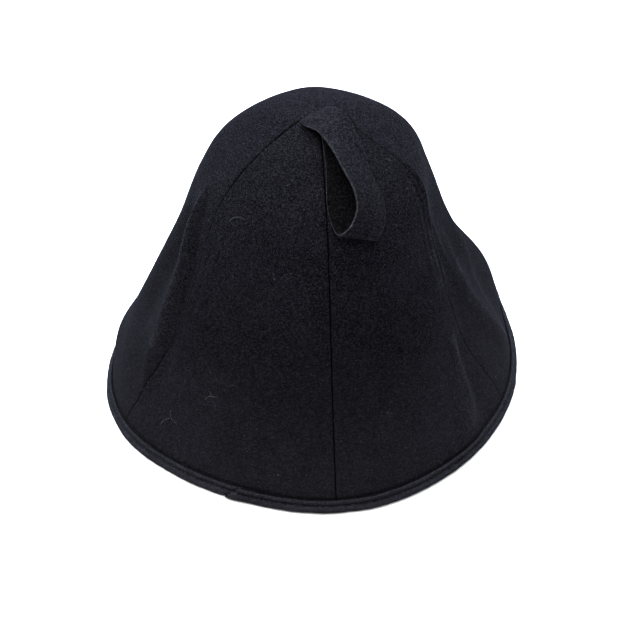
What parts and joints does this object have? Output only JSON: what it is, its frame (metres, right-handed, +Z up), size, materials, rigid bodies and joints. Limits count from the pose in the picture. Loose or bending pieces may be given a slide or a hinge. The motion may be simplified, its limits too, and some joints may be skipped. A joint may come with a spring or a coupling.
{
  "type": "sauna hat",
  "caption": "Bell-shaped felt sauna hat sewn from flat panels, with a bound rim and a hanging loop at the top.",
  "frame": {"origin": "on the surface the hat stands on, under the middle of its bounding box", "axes": "+Z up through the crown, -Y towards the front seam and the hanging loop, +X to the right seen from the front"},
  "size_m": [0.342, 0.3386, 0.2483],
  "materials": {
    "felt": "matt pressed wool felt",
    "binding": "matt wool felt strip, stitched",
    "loop": "matt wool felt strip"
  },
  "bodies": {
    "root": {"gore_front_left": "felt", "gore_front_right": "felt", "gore_right": "felt", "gore_back_right": "felt", "gore_back_left": "felt", "gore_left": "felt", "edge_binding": "binding", "hang_loop": "loop"}
  },
  "joints": []
}
